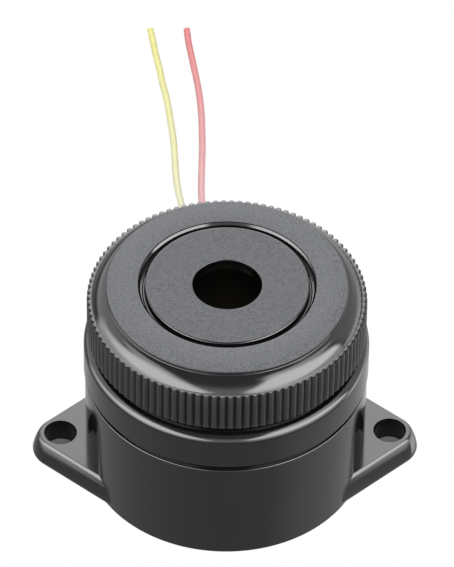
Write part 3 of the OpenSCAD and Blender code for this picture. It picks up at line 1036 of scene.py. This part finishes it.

# %% [markdown]
# ## The studio
#
# Black plastic shows little of its own colour: what the eye reads is the light that it mirrors. So the
# studio is painted as a sky of patches, each given by where it hangs and how it glows. A panel behind
# the buzzer lights the matt faces and the flats of the ears. Two soft boxes, left and right, draw the
# bright bands on the shoulder and the collar, and a strip hangs above each. The camera looks through
# the dark slot between them, which the front of the shoulder mirrors. Below lies the table, which
# glows most where the right box shines on it. A real studio does the same with boards and boxes. The
# sky is only mirrored: a lamp above the camera, which the gloss doesn't see, lights the wires. Under
# each ear lies a disc of grey paper. Its grey is painted shade that stands for the shade in the ear's
# hole, and it keeps the light table from shining up through it.

# %% Tools for the sky
world = bpy.data.worlds.new("studio")
scene.world = world
world.use_nodes = True
world.cycles_visibility.diffuse = False
sky = world.node_tree
sky.nodes.clear()


def calc(operation, a, b=0.0):
    """One sum, as a node of the sky."""
    return add(sky, "ShaderNodeMath", {0: a, 1: b}, operation=operation).outputs[0]


def between(value, low, high, soft_low, soft_high):
    """1 where a value lies between two limits, with an edge of its own softness at each."""
    rise = add(
        sky,
        "ShaderNodeMapRange",
        {"Value": value, "From Min": low - soft_low / 2, "From Max": low + soft_low / 2},
        interpolation_type="SMOOTHSTEP",
    )
    fall = add(
        sky,
        "ShaderNodeMapRange",
        {"Value": value, "From Min": high + soft_high / 2, "From Max": high - soft_high / 2},
        interpolation_type="SMOOTHSTEP",
    )
    return calc("MULTIPLY", rise.outputs[0], fall.outputs[0])


def laid_over(under, glow, *masks):
    """Lay a patch of one glow over what is there, where all its masks are open."""
    open_share = masks[0]
    for mask in masks[1:]:
        open_share = calc("MULTIPLY", open_share, mask)
    patch = add(sky, "ShaderNodeMix", {"Factor": open_share, "A": under, "B": glow}, data_type="FLOAT")
    return patch.outputs[0]


outwards = add(sky, "ShaderNodeTexCoord").outputs["Generated"]
way = add(sky, "ShaderNodeSeparateXYZ", {"Vector": outwards}).outputs
front = calc("MULTIPLY", way["Y"], -1.0)
azimuth = calc("DEGREES", calc("ARCTAN2", way["X"], front))
elevation = calc("DEGREES", calc("ARCSINE", way["Z"]))
ceiling_x = calc("DIVIDE", way["X"], way["Z"])
ceiling_y = calc("DIVIDE", front, way["Z"])
print("nodes that say where a patch hangs:", len(sky.nodes))

# %% Glow of the patches, and forms of their edges
room = 0.45
behind_left = 2.6
behind_right = 1.7
panel = 5.9
panel_foot = 9.0
panel_bow = 9.0
strip = 5.2
front_low = 2.5
sill = 4.6
left_box = 12.4
left_box_end = 7.4
right_box = 12.8
table_front = 0.59
table_left = 0.65
table_right = 0.88
table_lit = 4.6
box_bow = 0.0135
lean_foot = 18.0
lean_middle = 30.0
left_lean = 0.9
right_lean = -0.7
all_round = 181
all_up = 91


def bowed(middle):
    """Elevation, raised away from a middle azimuth, so that the top edge of a box falls to both sides."""
    off = calc("SUBTRACT", azimuth, middle)
    return calc("ADD", elevation, calc("MULTIPLY", calc("MULTIPLY", off, off), box_bow))


def leaning(lean):
    """Azimuth, shifted with the elevation, so that the inner end of a box leans out at its top."""
    height = calc("SUBTRACT", calc("MAXIMUM", elevation, lean_foot), lean_middle)
    return calc("ADD", azimuth, calc("MULTIPLY", height, lean))


print("brightest patch against the room:", round(max(left_box, right_box) / room, 1))

# %% Walls, panel and strips
back_left = between(azimuth, -all_round, -100, 1, 8)
back_right = between(azimuth, 100, all_round, 8, 1)
glow = laid_over(room, behind_left, back_left, between(elevation, 2, 56, 6, 20))
glow = laid_over(glow, behind_right, back_right, between(elevation, -15, 56, 6, 20))
bow = calc("MULTIPLY", calc("MULTIPLY", ceiling_x, ceiling_x), panel_bow)
panel_front = calc("ADD", ceiling_y, bow)
panel_glow = laid_over(panel, panel_foot, between(ceiling_y, -9, -1.25, 1, 0.2))
panel_span = between(ceiling_y, -2.4, 0, 0.6, 0.1), between(panel_front, -9, -0.3, 1, 0.16)
glow = laid_over(glow, panel_glow, *panel_span)
for low, high, soft_low, soft_high in ((-1.25, -0.66, 0.25, 0.1), (0.38, 1.2, 0.1, 0.3)):
    across = between(ceiling_x, low, high, soft_low, soft_high)
    overhead = between(elevation, 34, all_up, 10, 1)
    glow = laid_over(glow, strip, across, overhead, between(ceiling_y, -0.28, 0.6, 0.2, 0.3))
print("nodes in the sky with walls, panel and strips:", len(sky.nodes))

# %% Boxes and their sills
front_span = between(azimuth, -40, 40, 4, 4), between(elevation, -5, 34, 4, 26)
glow = laid_over(glow, front_low, *front_span)
left_span = between(azimuth, -118, 0, 8, 1), between(leaning(left_lean), -all_round, -23, 1, 10)
right_span = between(azimuth, 0, 95, 1, 3), between(leaning(right_lean), 22, all_round, 10, 1)
for span in (left_span, right_span):
    glow = laid_over(glow, sill, *span, between(elevation, -10, 20, 12, 1))
left_glow = laid_over(left_box, left_box_end, between(azimuth, -all_round, -95, 1, 46))
left_rise = between(elevation, 7, all_up, 16, 1), between(bowed(-62), -all_up, 46, 1, 18)
glow = laid_over(glow, left_glow, *left_span, *left_rise)
right_rise = between(elevation, 12, all_up, 12, 1), between(bowed(50), -all_up, 55, 1, 18)
glow = laid_over(glow, right_box, *right_span, *right_rise)
print("nodes in the sky with boxes:", len(sky.nodes))

# %% Table, and the sky's output
table = laid_over(table_front, table_left, between(azimuth, -all_round, -45, 1, 60))
table = laid_over(table, table_right, between(azimuth, 48, all_round, 40, 1))
glow = laid_over(glow, table, between(elevation, -all_up, -14, 1, 6))
lit_span = between(azimuth, 96, 122, 4, 58), between(elevation, -32, 0, 10, 8)
glow = laid_over(glow, table_lit, *lit_span)
seen = add(sky, "ShaderNodeLightPath").outputs["Is Camera Ray"]
surround = add(sky, "ShaderNodeBackground", {"Strength": laid_over(glow, 1.0, seen)})
add(sky, "ShaderNodeOutputWorld", {"Surface": surround.outputs["Background"]})
print("nodes in the sky:", len(sky.nodes))

# %% Lamp and table, in metres
lamp_side = 0.8
lamp_distance = 1.2
lamp_radiance = 9.2
lamp_elevation = math.radians(60)
floor_half = 6
paper_margin_mm = 0.6
paper_lift_mm = 0.01


def glowing(name, strength):
    """An even glow, as of an opal sheet with a lamp under it."""
    material, tree, _ = start(name)
    light = add(tree, "ShaderNodeEmission", {"Color": linear("#ffffff"), "Strength": strength})
    add(tree, "ShaderNodeOutputMaterial", {"Surface": light.outputs["Emission"]})
    return material


# A square lamp that lights what is matt, and that the gloss doesn't mirror
lamp = bpy.data.lights.new("top_box", "AREA")
lamp.shape = "RECTANGLE"
lamp.size = lamp_side
lamp.size_y = lamp_side
lamp.energy = lamp_radiance * math.pi * lamp_side * lamp_side
top_box = bpy.data.objects.new("top_box", lamp)
scene.collection.objects.link(top_box)
lamp_target = Vector((0, 0, nut_z)) * MM
top_box.matrix_world = facing(lamp_target + direction(0, lamp_elevation) * lamp_distance, lamp_target)
top_box.visible_glossy = False
top_box.visible_camera = False
table_top = skin(
    "floor",
    [(x * floor_half, y * floor_half, 0) for x, y in ((-1, -1), (1, -1), (1, 1), (-1, 1))],
    [(0, 1, 2, 3)],
    [glowing("opal_light_table", 1.0)],
)
table_top.visible_glossy = False
# A disc under each ear hole. Its dark grey is painted shade that stands for the shade inside the hole, and
# the lamp lights it through the hole as well.
paper_r = ear_hole_r + paper_margin_mm
paper_rim = [(paper_r * math.cos(a), paper_r * math.sin(a)) for a in whole_turn(small_steps)]
painted_shade_discs = skin(
    "paper_under_ear_holes",
    [Vector((side * ear_x + x, y, paper_lift_mm)) * MM for side in (-1, 1) for x, y in paper_rim],
    [tuple(range(small_steps)), tuple(range(small_steps, 2 * small_steps))],
    [plain("paper_painted_shade", "#626262", "#6a6a6a", 2, 0.8)],
)
scene.view_settings.view_transform = "Standard"
